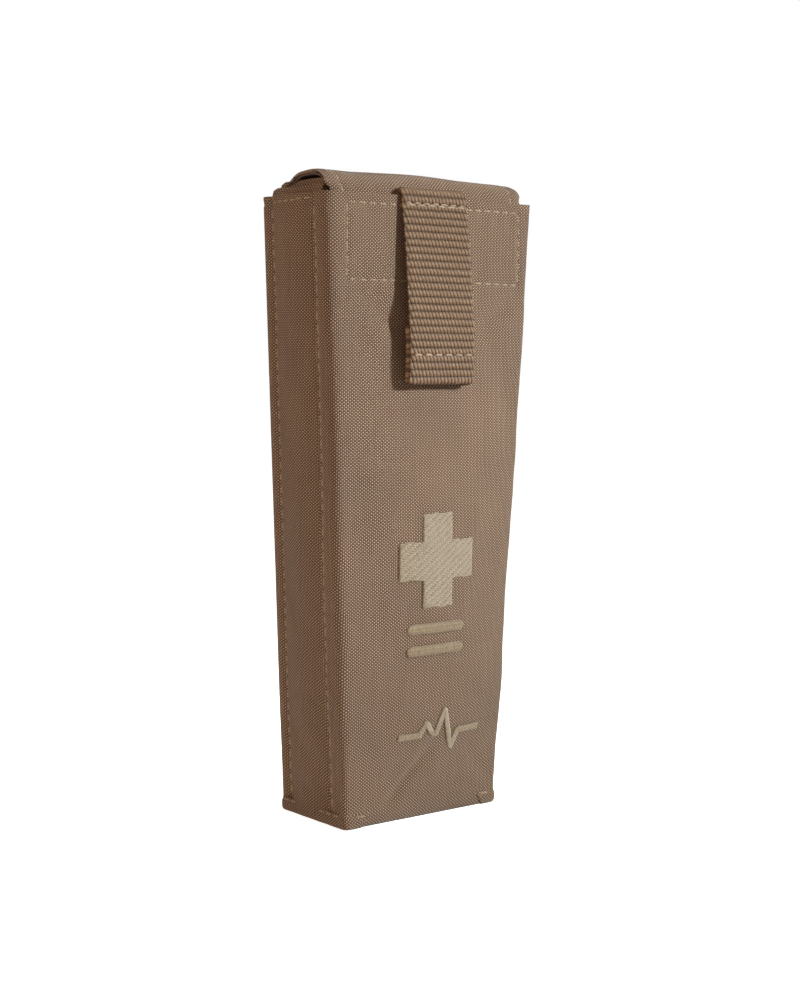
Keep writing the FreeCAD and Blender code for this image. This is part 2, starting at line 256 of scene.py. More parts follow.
# Plain weave on the UV map, which is in metres: crowns where a yarn is on top, painted shade in the
# gap between yarns, the upright yarns painted lighter than the crossing ones as if lit, and each
# yarn a little lighter or darker than its neighbour.
def wovenCloth(name, weave):
    material, tree, surface = newMaterial(name, {
        "Sheen Weight": weave["sheen"], "Sheen Roughness": 0.45, "Specular IOR Level": 0.5})
    uv = addNode(tree, "ShaderNodeTexCoord").outputs["UV"]
    drift = addNode(tree, "ShaderNodeTexNoise",
                    {"Scale": 1 / (weave["driftSize"] * mm), "Detail": 3.0}, {"Vector": uv})
    centred = addNode(tree, "ShaderNodeVectorMath", {1: (0.5, 0.5, 0.5)},
                      {0: drift.outputs["Color"]}, operation="SUBTRACT")
    scaled = addNode(tree, "ShaderNodeVectorMath", {"Scale": weave["drift"] * mm},
                     {0: centred.outputs[0]}, operation="SCALE")
    moved = addNode(tree, "ShaderNodeVectorMath", {}, {0: uv, 1: scaled.outputs[0]},
                    operation="ADD")
    parts = addNode(tree, "ShaderNodeSeparateXYZ", {}, {0: moved.outputs[0]})
    waves = []
    for axis in (0, 1):
        turn = addNode(tree, "ShaderNodeMath", {1: math.pi / (weave["yarn"][axis] * mm)},
                       {0: parts.outputs[axis]}, operation="MULTIPLY")
        waves.append(addNode(tree, "ShaderNodeMath", {}, {0: turn.outputs[0]}, operation="SINE"))
    crossing = addNode(tree, "ShaderNodeMath", {},
                       {0: waves[0].outputs[0], 1: waves[1].outputs[0]}, operation="MULTIPLY")
    size = addNode(tree, "ShaderNodeMath", {}, {0: crossing.outputs[0]}, operation="ABSOLUTE")
    crown = addNode(tree, "ShaderNodeMath", {1: weave["spread"]}, {0: size.outputs[0]},
                    operation="POWER")
    gloss = addNode(tree, "ShaderNodeMapRange",          # worn crowns shine, gaps are dull
                    {"To Min": weave["dullest"], "To Max": weave["roughness"]},
                    {"Value": crown.outputs[0]})
    tree.links.new(gloss.outputs[0], surface.inputs["Roughness"])
    slubs = []
    for stretch in ((1.1, 0.04, 1), (0.04, 1.1, 1)):      # long thin noise along each yarn
        longWay = addNode(tree, "ShaderNodeMapping", {"Scale": [s / mm for s in stretch]},
                          {"Vector": uv})
        slubs.append(addNode(tree, "ShaderNodeTexNoise", {"Scale": 1.0, "Detail": 2.0},
                             {"Vector": longWay.outputs[0]}))
    onTop = addNode(tree, "ShaderNodeMath", {1: 0.0}, {0: crossing.outputs[0]},
                    operation="GREATER_THAN")
    # painted light: the upright warp yarns take lighter colours than the crossing weft, as if lit
    warpPaintedLit = addNode(tree, "ShaderNodeMixRGB", {"Color1": toLinear(weave["warpDark"]),
                   "Color2": toLinear(weave["warpLight"])}, {"Fac": slubs[0].outputs[0]})
    weftPaintedShade = addNode(tree, "ShaderNodeMixRGB", {"Color1": toLinear(weave["weftDark"]),
                   "Color2": toLinear(weave["weftLight"])}, {"Fac": slubs[1].outputs[0]})
    yarns = addNode(tree, "ShaderNodeMixRGB", {}, {"Fac": onTop.outputs[0],
                    "Color1": weftPaintedShade.outputs[0], "Color2": warpPaintedLit.outputs[0]})
    # painted shade: where the crowns fall away between yarns, the near-black gap colour is laid in
    gapShade = addNode(tree, "ShaderNodeMixRGB", {"Color1": toLinear(weave["gap"])},
                   {"Fac": crown.outputs[0], "Color2": yarns.outputs[0]})
    # large soft patches, a few percent lighter or darker at random
    mottle = addNode(tree, "ShaderNodeTexNoise",
                   {"Scale": 1 / (weave["mottleSize"] * mm), "Detail": 3.0}, {"Vector": uv})
    mottleTone = addNode(tree, "ShaderNodeMapRange", {"From Min": 0.3, "From Max": 0.7,
                       "To Min": 1 - weave["mottle"], "To Max": 1 + weave["mottle"]},
                       {"Value": mottle.outputs[0]})
    toned = addNode(tree, "ShaderNodeVectorMath", {}, {0: gapShade.outputs[0],
                    "Scale": mottleTone.outputs[0]}, operation="SCALE")
    tree.links.new(toned.outputs[0], surface.inputs["Base Color"])
    fuzz = addNode(tree, "ShaderNodeTexNoise", {"Scale": 5 / mm, "Detail": 2.0}, {"Vector": uv})
    fuzzy = addNode(tree, "ShaderNodeMath", {1: 0.35}, {0: fuzz.outputs[0]}, operation="MULTIPLY")
    relief = addNode(tree, "ShaderNodeMath", {}, {0: crown.outputs[0], 1: fuzzy.outputs[0]},
                     operation="ADD")
    bump = addNode(tree, "ShaderNodeBump",
                   {"Strength": weave["bump"], "Distance": weave["yarn"][1] * 0.45 * mm},
                   {"Height": relief.outputs[0]})
    tree.links.new(bump.outputs[0], surface.inputs["Normal"])
    return material


# Webbing: cords across its width, each crossed by slanting floats, on the UV map in metres.
def wovenWebbing(name, weave):
    material, tree, surface = newMaterial(name, {
        "Roughness": weave["roughness"], "Sheen Weight": weave["sheen"], "Sheen Roughness": 0.4,
        "Specular IOR Level": 0.25})
    uv = addNode(tree, "ShaderNodeTexCoord").outputs["UV"]
    parts = addNode(tree, "ShaderNodeSeparateXYZ", {}, {0: uv})
    sums = {"across": parts.outputs[0], "lengthways": parts.outputs[1]}
    for result, operation, first, second in (
            ("ribs", "MULTIPLY", "lengthways", 1 / (weave["rib"] * mm)),
            ("ribNumber", "FLOOR", "ribs", None),
            ("ribPlace", "FRACT", "ribs", None),
            ("ribAngle", "MULTIPLY", "ribPlace", math.pi),
            ("ribWave", "SINE", "ribAngle", None),
            ("column", "MULTIPLY", "across", 1 / (weave["column"] * mm)),
            ("slant", "MULTIPLY", "ribPlace", weave["slant"]),
            ("stagger", "MULTIPLY", "ribNumber", 0.5),
            ("slanted", "ADD", "column", "slant"),
            ("staggered", "ADD", "slanted", "stagger"),
            ("floatAngle", "MULTIPLY", "staggered", math.pi),
            ("floatWave", "SINE", "floatAngle", None),
            ("floatSize", "ABSOLUTE", "floatWave", None),
            ("bead", "MULTIPLY", "floatSize", "ribWave"),
            ("crown", "POWER", "bead", 0.5)):
        links, values = {0: sums[first]}, {}
        if isinstance(second, str):
            links[1] = sums[second]
        elif second is not None:
            values[1] = second
        node = addNode(tree, "ShaderNodeMath", values, links, operation=operation)
        sums[result] = node.outputs[0]
    worn = addNode(tree, "ShaderNodeTexNoise", {"Scale": 1.3 / mm, "Detail": 3.0}, {"Vector": uv})
    yarns = addNode(tree, "ShaderNodeMixRGB", {"Color1": toLinear(weave["dark"]),
                    "Color2": toLinear(weave["light"])}, {"Fac": worn.outputs[0]})
    # painted shade: the dark gap colour fills the space between cords and floats, where the crowns
    # fall away
    gapShade = addNode(tree, "ShaderNodeMixRGB", {"Color1": toLinear(weave["gap"])},
                   {"Fac": sums["crown"], "Color2": yarns.outputs[0]})
    tree.links.new(gapShade.outputs[0], surface.inputs["Base Color"])
    bump = addNode(tree, "ShaderNodeBump", {"Strength": weave["bump"], "Distance": 0.3 * mm},
                   {"Height": sums["crown"]})
    tree.links.new(bump.outputs[0], surface.inputs["Normal"])
    return material


# Anything made of fine grain, pile or a plain coat, on Object coordinates: two colours by noise,
# and a bump from a finer one.
def grainyFinish(name, look):
    material, tree, surface = newMaterial(name, {
        "Roughness": look["roughness"], "Metallic": look.get("metallic", 0.0),
        "Sheen Weight": look.get("sheen", 0.0), "Coat Weight": look.get("coat", 0.0)})
    spot = addNode(tree, "ShaderNodeTexCoord").outputs["Object"]
    tone = addNode(tree, "ShaderNodeTexNoise",
                   {"Scale": 1 / (look["toneSize"] * mm), "Detail": 4.0}, {"Vector": spot})
    colour = addNode(tree, "ShaderNodeMixRGB", {"Color1": toLinear(look["dark"]),
                     "Color2": toLinear(look["light"])}, {"Fac": tone.outputs[0]})
    tree.links.new(colour.outputs[0], surface.inputs["Base Color"])
    grain = addNode(tree, look.get("grain", "ShaderNodeTexNoise"),
                    {"Scale": 1 / (look["grainSize"] * mm)}, {"Vector": spot})
    bump = addNode(tree, "ShaderNodeBump", {"Strength": look["bump"],
                   "Distance": look["grainSize"] * 0.5 * mm}, {"Height": grain.outputs[0]})
    tree.links.new(bump.outputs[0], surface.inputs["Normal"])
    return material


# Sewing and embroidery thread: fine slanting plies round each stitch, on the stitch's UV map.
def twistedThread(name, look):
    material, tree, surface = newMaterial(name, {
        "Roughness": look["roughness"], "Sheen Weight": 0.3, "Specular IOR Level": look["gloss"]})
    coords = addNode(tree, "ShaderNodeTexCoord")
    parts = addNode(tree, "ShaderNodeSeparateXYZ", {}, {0: coords.outputs["UV"]})
    lengthways = addNode(tree, "ShaderNodeMath", {1: look["plies"]}, {0: parts.outputs[1]},
                         operation="MULTIPLY")
    turned = addNode(tree, "ShaderNodeMath", {1: 2.0, 2: 0.0}, {0: parts.outputs[0],
                     2: lengthways.outputs[0]}, operation="MULTIPLY_ADD")
    angle = addNode(tree, "ShaderNodeMath", {1: 2 * math.pi}, {0: turned.outputs[0]},
                    operation="MULTIPLY")
    plies = addNode(tree, "ShaderNodeMath", {}, {0: angle.outputs[0]}, operation="SINE")
    tone = addNode(tree, "ShaderNodeTexNoise",
                   {"Scale": 1 / (look["toneSize"] * mm), "Detail": 2.0},
                   {"Vector": coords.outputs["Object"]})
    colour = addNode(tree, "ShaderNodeMixRGB", {"Color1": toLinear(look["dark"]),
                     "Color2": toLinear(look["light"])}, {"Fac": tone.outputs[0]})
    tree.links.new(colour.outputs[0], surface.inputs["Base Color"])
    bump = addNode(tree, "ShaderNodeBump", {"Strength": 0.5, "Distance": 0.06 * mm},
                   {"Height": plies.outputs[0]})
    tree.links.new(bump.outputs[0], surface.inputs["Normal"])
    return material


# 1000 denier textured nylon, plain weave: a dull cloth of fat yarns. They are 0.45 mm wide,
# and the upright ones are drawn wider so that they show.
# warp painted lighter than weft as if lit; the gap colour is painted shade between yarns
shellWeave = {
    "yarn": (0.6, 0.48), "drift": 0.8, "driftSize": 10.0, "mottle": 0.07, "mottleSize": 22.0,
    "warpDark": "#b6916c", "warpLight": "#deb185", "weftDark": "#604530", "weftLight": "#795840",
    "gap": "#120804", "roughness": 0.4, "dullest": 0.75, "sheen": 0.03, "bump": 1.0, "spread": 0.85,
}
shellNylon = wovenCloth("texturedNylonWeave", shellWeave)
# 210 denier coated nylon: a much finer weave with a slight shine
# here too the warp is painted a little lighter than the weft, and the gap is painted shade
liningNylon = wovenCloth("coatedLiningNylon", {
    **shellWeave, "yarn": (0.3, 0.3), "drift": 0.2, "warpDark": "#634834", "warpLight": "#785a43",
    "weftDark": "#583f2e", "weftLight": "#6b503c", "gap": "#2c1c12", "roughness": 0.45,
    "bump": 0.4})
# 25 mm nylon webbing: hard cords across, bright crowns with painted shade in the gap between the
#                      cords
webbingWeave = {
    "rib": 2.1, "column": 1.3, "slant": 0.55, "dark": "#553c28", "light": "#a17f5f",
    "gap": "#23130a", "roughness": 0.5, "sheen": 0.0, "bump": 1.0,
}
nylonWebbing = wovenWebbing("nylonWebbing", webbingWeave)
# grosgrain binding tape: thin, with fine close ribs and the webbing's painted shade between them
bindingTape = wovenWebbing("grosgrainTape", {
    **webbingWeave, "rib": 0.9, "column": 0.5, "bump": 0.5})
# loop tape: a soft brushed pile that scatters light
loopPile = grainyFinish("brushedLoopPile", {
    "dark": "#553c2b", "light": "#765844", "roughness": 0.95, "sheen": 0.8, "toneSize": 1.2,
    "grainSize": 0.5, "bump": 1.0})
# hook tape: stiff nylon hooks in a knit ground, seen as a dense grit
hookPile = grainyFinish("wovenHookTape", {
    "dark": "#402c1f", "light": "#705543", "roughness": 0.6, "sheen": 0.1, "toneSize": 0.8,
    "grainSize": 0.9, "grain": "ShaderNodeTexVoronoi", "bump": 1.0})
# bonded nylon sewing thread, a shade lighter than the cloth
sewingThread = twistedThread("bondedNylonThread", {
    "dark": "#7d6247", "light": "#a68867", "roughness": 0.45, "gloss": 0.5, "plies": 3.0,
    "toneSize": 9.0})
# trilobal polyester embroidery thread: glossy, pale sand
embroideryThread = twistedThread("polyesterEmbroideryThread", {
    "dark": "#665139", "light": "#a38c68", "roughness": 0.38, "gloss": 0.6, "plies": 5.0,
    "toneSize": 0.7})
# pressed brass with baked brown enamel: smooth, a little orange peel
enamelledBrass = grainyFinish("bakedEnamelBrass", {
    "dark": "#3a2d24", "light": "#4a3a2f", "roughness": 0.32, "coat": 0.3, "toneSize": 6.0,
    "grainSize": 0.8, "bump": 0.08})
# bare nickel-plated brass inside the stud
nickelPlate = grainyFinish("nickelPlatedBrass", {
    "dark": "#a9a59c", "light": "#c6c2b8", "roughness": 0.28, "metallic": 1.0, "toneSize": 5.0,
    "grainSize": 0.6, "bump": 0.05})
# cut HDPE sheet: milky black, faint knife grain
stiffenerSheet = grainyFinish("polyethyleneSheet", {
    "dark": "#1d1c1b", "light": "#2a2928", "roughness": 0.5, "toneSize": 8.0, "grainSize": 0.7,
    "bump": 0.15})
print("materials ready")


# Front cloth: flat face, two round corners and two side returns. a runs across from the middle.
front = {
    "belly": 4.6, "bellySkew": 0.767,                    # the filled pouch's outward curve
    "thickness": 1.15, "columns": 150, "rows": 230,
    "hem": 182.7, "tapeHalf": 32.4, "tapeMiddle": 0.8, "tapeBase": 161.0,   # stitch lines
    "seamInset": 1.1, "underRoll": 1.6, "base": 0.2, "crest": 0.55,
    "stitchSink": 0.3, "stitchWidth": 0.7,
    "folds": (                                           # ax, az, bx, bz, width, depth
        (-26, 156, -11, 146, 3.6, 0.95), (14, 144, 31, 156, 3.6, 1.0),
        (-29, 148, -20, 128, 5.0, 0.6), (24, 140, 32, 118, 5.0, 0.5),
        (-1, 21, -15, 6, 1.8, 0.9), (3, 26, -3, 14, 2.6, 0.4), (-9, 18, -20, 8, 3.0, 0.35),
        (-30, 104, -20, 60, 6.0, 0.5), (24, 98, 20, 62, 6.0, 0.4),
        (-9, 120, 10, 112, 5.0, 0.35), (14, 22, 26, 8, 2.8, 0.45), (-26, 40, -14, 30, 4.0, 0.4),
    ),
}


def bellyAt(x, z):
    half = halfAt(-1 if x < 0 else 1, z)
    rise = math.sin(math.pi * clamp(z / pouch["height"]) ** front["bellySkew"])
    return front["belly"] * rise * max(0.0, 1 - (x / half) ** 2)


def foldDepth(x, z, fold):
    # deepest at the middle of the fold's line, and fading to both ends
    ax, az, bx, bz, width, depth = fold
    t = clamp(((x - ax) * (bx - ax) + (z - az) * (bz - az)) / ((bx - ax) ** 2 + (bz - az) ** 2))
    distance = math.hypot(x - ax - t * (bx - ax), z - az - t * (bz - az))
    return depth * hump(distance, width) * math.sin(math.pi * (0.12 + 0.76 * t))


def frontReach(side, z):
    radius = cornerAt(side, z)
    return halfAt(side, z) - radius + radius * math.pi / 2 + pouch["seamReturn"] - radius


def frontRelief(a, z):
    reach = frontReach(-1 if a < 0 else 1, z)
    fromTape = abs(a - front["tapeMiddle"])
    width, depth = front["stitchWidth"], front["stitchSink"]
    acrossBox = clamp((front["tapeHalf"] + width - fromTape) / width)
    upBox = clamp((z - front["tapeBase"] + width) / width)
    upBox *= clamp((front["hem"] + width - z) / width)
    sink = depth * acrossBox * (hump(z - front["hem"], width) + hump(z - front["tapeBase"], width))
    sink += depth * upBox * hump(fromTape - front["tapeHalf"], width)
    for fold in front["folds"]:
        sink += foldDepth(a, z, fold)
    seam = reach - front["seamInset"] - abs(a)
    sink += 0.3 * hump(seam, 0.6)
    pucker = hump(seam - 2.2, 2.2) * wave(z, seam * 0.6, 3.4, 3 + (a > 0))
    pucker += hump(z - front["hem"] + 2.5, 2.5) * wave(a, z * 0.5, 4.0, 9)
    slack = wave(a, z, 26, 1) * 0.5 + wave(a, z, 11, 2) * 0.18
    slack *= easeStep(z, 0, 20) * easeStep(front["hem"] - z, 0, 20)
    edge = 0.12 * wave(a, z, 9, 6) * easeStep(z, 176, 185)
    return 0.28 * pucker + slack + edge - sink


def frontSurface(a, z):
    side = 1 if a >= 0 else -1
    radius, depth = cornerAt(side, z), pouch["depth"]
    flat = halfAt(side, z) - radius
    arc = radius * math.pi / 2
    run = abs(a)
    if run <= flat:
        x, y, nx, ny = run, -depth, 0.0, -1.0
    elif run <= flat + arc:
        turn = (run - flat) / radius
        x, y = flat + radius * math.sin(turn), -depth + radius * (1 - math.cos(turn))
        nx, ny = math.sin(turn), -math.cos(turn)
    else:
        x, y, nx, ny = flat + radius, -depth + radius + run - flat - arc, 1.0, 0.0
    lift = frontRelief(a, z)
    roll = front["underRoll"]
    if z < roll:                                         # the cloth turns under at the base
        lift -= roll * (1 - math.sqrt(max(0.0, 1 - ((roll - z) / roll) ** 2)))
    y -= bellyAt(x, z)
    return side * (x + nx * lift), y + ny * lift, z


def frontSpread(u, v):
    z = front["base"] + (pouch["height"] + front["crest"] - front["base"]) * v
    across = 2 * u - 1
    return across * frontReach(-1 if across < 0 else 1, z), z


frontCloth = clothSheet("frontCloth", front["columns"], front["rows"], frontSpread, frontSurface,
                        front["thickness"], shellNylon)
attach(frontCloth, "pouch")
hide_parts("front_panel")
print("front cloth done")


# Gussets: side cloths, pillowed between the front seam and the rear flange. a counts from the rear.
gusset = {
    "thickness": 0.9, "columns": 44, "rows": 230, "flange": 4.0, "underFront": 27.5,
    "sink": 0.95, "pillow": 1.9, "rearRoll": 1.3, "base": 0.8, "flatter": (178, 184),
    "folds": ((7, 150, 16, 141, 3.5, 0.5), (12, 106, 20, 112, 4.0, 0.45), (6, 74, 15, 60, 4.5, 0.4),
              (9, 30, 19, 16, 4.0, 0.45), (14, 172, 18, 164, 3.0, 0.35)),
}


def gussetSurface(side):
    def surface(a, z):
        run = abs(a)
        seam = pouch["depth"] - pouch["seamReturn"]
        t = clamp((run - gusset["flange"]) / (seam - gusset["flange"]))
        out = -gusset["sink"] + gusset["pillow"] * math.sin(math.pi * t) ** 0.8
        out *= 1 - 0.35 * easeStep(z, *gusset["flatter"])
        if run < gusset["flange"]:
            out = -0.15 - 0.6 * hump(run - gusset["flange"], 0.9)
        else:
            out -= 0.25 * hump(run - gusset["flange"], 0.9)
        if run < gusset["rearRoll"]:
            rest = (gusset["rearRoll"] - run) / gusset["rearRoll"]
            out -= gusset["rearRoll"] * (1 - math.sqrt(max(0.0, 1 - rest ** 2)))
        out -= front["stitchSink"] * hump(z - front["hem"], front["stitchWidth"])
        for fold in gusset["folds"]:
            out -= foldDepth(run, z, fold)
        out += 0.25 * wave(run, z, 12, 20 + side) * math.sin(math.pi * t)
        out += 0.14 * wave(run * 0.5, z, 3.2, 30 + side) * hump(run - gusset["flange"] - 1.5, 2.0)
        return side * (halfAt(side, z) + out), -run, z
    return surface


def gussetSpread(side):
    def spread(u, v):
        run = gusset["underFront"] * (u if side < 0 else 1 - u)
        crest = pouch["height"] - 0.2 + 0.7 * run / gusset["underFront"]
        z = gusset["base"] + (crest - gusset["base"]) * v
        return -side * run, z
    return spread


for side, sideName in ((-1, "Left"), (1, "Right")):
    cloth = clothSheet("gusset" + sideName, gusset["columns"], gusset["rows"], gussetSpread(side),
                       gussetSurface(side), gusset["thickness"], shellNylon)
    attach(cloth, "pouch")
    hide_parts(sideName.lower() + "_gusset")
print("gussets done")


# Back panel: outer cloth and lining either side of the stiffener, which stays as the frame has it
back = {
    "outerThickness": 0.95, "liningThickness": 0.75, "edgeInset": 0.7, "columns": 60, "rows": 150,
    "top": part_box("back_panel")[1].z / mm, "channel": 6.0, "base": 1.0,
    "liningDepth": 2.05, "liningBase": 1.8, "liningInset": 1.3,
}


def backSurface(a, z):
    inFrame = min(taperHalf(z) - abs(a), z, back["top"] - z)
    out = -0.3 * hump(inFrame - back["channel"] + 1.6, 0.8) + 0.12 * wave(a, z, 18, 40)
    return -a, min(out, 0.0), z


def liningSurface(a, z):
    return a, -back["liningDepth"] + 0.08 * wave(a, z, 15, 41), z


def backSpread(u, v):
    z = back["base"] + (back["top"] - back["base"]) * v
    return (2 * u - 1) * (taperHalf(z) - back["edgeInset"]), z


def liningSpread(u, v):
    z = back["liningBase"] + (back["top"] - back["liningBase"]) * v
    return (2 * u - 1) * (taperHalf(z) - back["liningInset"]), z


backCloth = clothSheet("backCloth", back["columns"], back["rows"], backSpread, backSurface,
                       back["outerThickness"], shellNylon)
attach(backCloth, "pouch")
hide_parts("back_panel")
backLining = clothSheet("backLining", 40, 90, liningSpread, liningSurface,
                        back["liningThickness"], liningNylon, edge=0.2)
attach(backLining, "pouch")
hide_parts("back_lining")
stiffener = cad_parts["back_stiffener"]
stiffener.data.materials.clear()
stiffener.data.materials.append(stiffenerSheet)
print("back done")


# Base: the bottom cloth with a hole for the eyelet, and lips that turn up the sides and lap
# a few millimetres round both front corners
base = {
    "thickness": 1.2, "lipHeight": 4.7, "lipProud": 0.55, "lipThickness": 0.8, "lap": 7.0,
    "lapSlant": 2.9, "hole": 3.6, "inset": 0.8, "lipRoll": 1.5, "lipBase": 0.1, "lipStitch": 3.9,
}
eyeletLow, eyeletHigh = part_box("drain_eyelet")
drain = {"y": (eyeletLow.y + eyeletHigh.y) / 2 / mm - rearFace / mm}


def baseHalfAt(run):
    radius, half = pouch["cornerLow"], pouch["baseHalf"] - base["inset"]
    beyond = run - (pouch["depth"] - radius)
    if beyond <= 0:
        return half
    inner = radius - base["inset"]
    return half - inner + math.sqrt(max(0.0, inner ** 2 - min(beyond, inner) ** 2))


def baseSurface(a, b):
    edge = min(baseHalfAt(b) - abs(a), pouch["depth"] - base["inset"] - b)
    rise = 0.5 * (1 - clamp(edge / 1.2)) ** 2
    nearDrain = math.hypot(a, -b - drain["y"])
    rise += 0.45 * (1 - easeStep(nearDrain, 5.5, 9.0)) + 0.1 * (wave(a, b, 9, 50) + 1) * 0.5
    return a, -b, 0.12 + rise


def baseSpread(u, v):
    run = v * (pouch["depth"] - base["inset"])
    return (2 * u - 1) * baseHalfAt(run), run


def outsideHole(point):
    return math.hypot(point.x, point.y - rearFace - drain["y"] * mm) > base["hole"] * mm


def lipSurface(side):
    def surface(a, z):
        run = abs(a)
        corner = pouch["cornerLow"]
        radius = corner + base["lipProud"]
        half = taperHalf(z)
        straight = pouch["depth"] - corner
        arc = radius * math.pi / 2
        proud = base["lipProud"] - 0.45 * easeStep(z, 3.4, base["lipHeight"])
        proud += 0.1 * wave(run, z, 4, 60 + side)
        proud -= 0.22 * hump(z - base["lipStitch"], 0.5)
        low = base["lipRoll"]
        if z < low:
            proud -= low * (1 - math.sqrt(max(0.0, 1 - ((low - z) / low) ** 2)))
        if run <= straight:
            proud -= 1.2 * (1 - easeStep(run, 0, 1.2))
            return side * (half + proud), -run, z
        turn = min((run - straight) / radius, math.pi / 2)
        reach = corner + proud
        x = half - corner + reach * math.cos(turn)
        y = -straight - reach * math.sin(turn)
        if run > straight + arc:
            x -= run - straight - arc
        return side * x, y - bellyAt(x, z), z
    return surface


def lipEnd():
    corner = pouch["cornerLow"]
    return pouch["depth"] - corner + (corner + base["lipProud"]) * math.pi / 2 + base["lap"]


def lipSpread(side):
    def spread(u, v):
        z = base["lipBase"] + (base["lipHeight"] - base["lipBase"]) * v
        # the cut end slants towards the corner at the bottom
        end = lipEnd() - base["lapSlant"] * (1 - v)
        run = end * (u if side < 0 else 1 - u)
        return -side * run, z
    return spread


basePlate = clothSheet("baseCloth", 64, 34, baseSpread, baseSurface, base["thickness"], shellNylon,
                       keep=outsideHole)
lips = [clothSheet("lip", 70, 12, lipSpread(side), lipSurface(side), base["lipThickness"],
                   shellNylon, edge=0.25) for side in (-1, 1)]
baseCloth = mergePieces("baseCloth", [basePlate] + lips)
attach(baseCloth, "pouch")
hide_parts("bottom_panel")
print("base done")


# Inside the mouth: the front panel's turned hem, loop tape, seam bindings and dust ears
mouth = {
    "hemHalf": 32.0, "hemBase": 177.8, "hemDepth": 6.9, "loopPile": 1.2, "loopHalf": 31.8,
    "loopBase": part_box("loop_tape")[0].z / mm, "loopTop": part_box("loop_tape")[1].z / mm,
    "earRear": (5.4, 3.8), "earFront": 27.0, "earTop": (189.1, 187.4), "earBase": 163.0,
    "earInset": 2.1, "earPly": 1.15, "bindingWidth": 7.8,
}


def hemSurface(a, z):
    return -a, 0.05 + front["thickness"] - pouch["depth"] + 0.06 * wave(a, z, 6, 70), z


def loopSurface(a, z):
    edge = min(mouth["loopHalf"] - abs(a), z - mouth["loopBase"], mouth["loopTop"] - z)
    rough = 0.16 * wave(a, z, 1.1, 71) * clamp(edge)
    return -a, front["thickness"] + 0.3 + mouth["loopPile"] - pouch["depth"] + rough, z


def earSurface(side, lift):
    def surface(a, z):
        run = abs(a)
        rest = 0.5 * wave(run, z, 14, 80 + side) + 0.35 * wave(run, z, 6, 81 + side)
        x = taperHalf(min(z, pouch["height"])) - mouth["earInset"] - lift
        x += rest * easeStep(z, 178, 188)
        x -= 0.7 * easeStep(z, 185, 189)                # the ear's top leans in
        return side * x, -run, z + 0.35 * wave(run, 0, 9, 83 + side)
    return surface


def earSpread(side, ply):
    def spread(u, v):
        rear, top = mouth["earRear"][ply], mouth["earTop"][ply]
        run = rear + (mouth["earFront"] - rear) * (u if side < 0 else 1 - u)
        crest = top - 0.7 * (1 - easeStep(run, rear, rear + 2.0)) + 0.4 * easeStep(run, 8, 24)
        return -side * run, mouth["earBase"] + (crest - mouth["earBase"]) * v
    return spread


def bindingSurface(side, y):
    def surface(a, z):
        return side * (taperHalf(z) - 1.3) + a, y + 0.1 * wave(a, z, 5, 90 + side), z
    return surface


hemStrip = clothSheet("frontHem", 60, 8, lambda u, v: (
    (2 * u - 1) * mouth["hemHalf"], mouth["hemBase"] + mouth["hemDepth"] * v),
    hemSurface, 0.35, shellNylon, edge=0.1)
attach(hemStrip, "pouch")
loopTape = clothSheet("loopTape", 110, 44, lambda u, v: (
    (2 * u - 1) * mouth["loopHalf"],
    mouth["loopBase"] + (mouth["loopTop"] - mouth["loopBase"]) * v),
    loopSurface, mouth["loopPile"], loopPile)
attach(loopTape, "pouch")
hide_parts("loop_tape")
for side, sideName in ((-1, "Left"), (1, "Right")):
    layers = [clothSheet("ear", 44, 40, earSpread(side, ply),
                         earSurface(side, -mouth["earPly"] * ply), 0.95, shellNylon, edge=0.35)
              for ply in (0, 1)]
    ear = mergePieces("dustEar" + sideName, layers)
    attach(ear, "pouch")
    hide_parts(sideName.lower() + "_dust_ear")
    low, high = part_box(sideName.lower() + "_seam_binding")
    binding = clothSheet(
        "seamBinding" + sideName, 10, 90,
        lambda u, v: ((u if side < 0 else u - 1) * mouth["bindingWidth"],
                      low.z / mm + (high.z - low.z) / mm * v),
        bindingSurface(side, low.y / mm - rearFace / mm + 0.15), 0.6, bindingTape, edge=0.2)
    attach(binding, "pouch")
    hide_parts(sideName.lower() + "_seam_binding")
print("mouth done")


# Lid: one cloth strip from inside the back panel, over the mouth, round the front fold and down
# behind the front panel. It is cut in two on its flat rear slope.
lid = {
    "line": ((0, -0.75, 179.0), (0, -0.85, 183.2), (0, -2.0, 185.4), (0, -4.6, 186.8),
             (0, -7.8, 188.2), (0, -11.2, 190.2), (0, -15.2, 191.7), (0, -20.5, 192.3),
             (0, -25.2, 191.8), (0, -28.1, 190.0), (0, -29.1, 187.2), (0, -28.9, 183.8),
             (0, -27.2, 177.5), (0, -22.9, 165.4)),
    "halfRear": 36.0, "halfFold": 37.1, "halfNeck": 35.2, "halfTip": 34.2, "cut": 15.5,
    "neck": (24.5, 20.5), "shift": -0.5,                 # the neck counts from the tip
    "outerThickness": 0.85, "liningThickness": 0.6, "seam": 4.6,
    "rootStart": (0, -0.9, 183.9), "rootEnd": (0, -3.6, 186.0),
    "foldStart": (0, -23.5, 191.2), "foldEnd": (0, -28.6, 184.9),
}
lidLine, lidLength = smoothLine(lid["line"], 160)
lidRoot = lid["rootStart"], lid["rootEnd"]
lidFold = lid["foldStart"], lid["foldEnd"]


def lidHalfAt(b):
    half = lid["halfRear"] + (lid["halfFold"] - lid["halfRear"]) * easeStep(b, 14, 24)
    start, end = lidLength - lid["neck"][0], lidLength - lid["neck"][1]
    half += (lid["halfNeck"] - lid["halfFold"]) * easeStep(b, start, end)
    return half + (lid["halfTip"] - lid["halfNeck"]) * easeStep(b, end, lidLength)


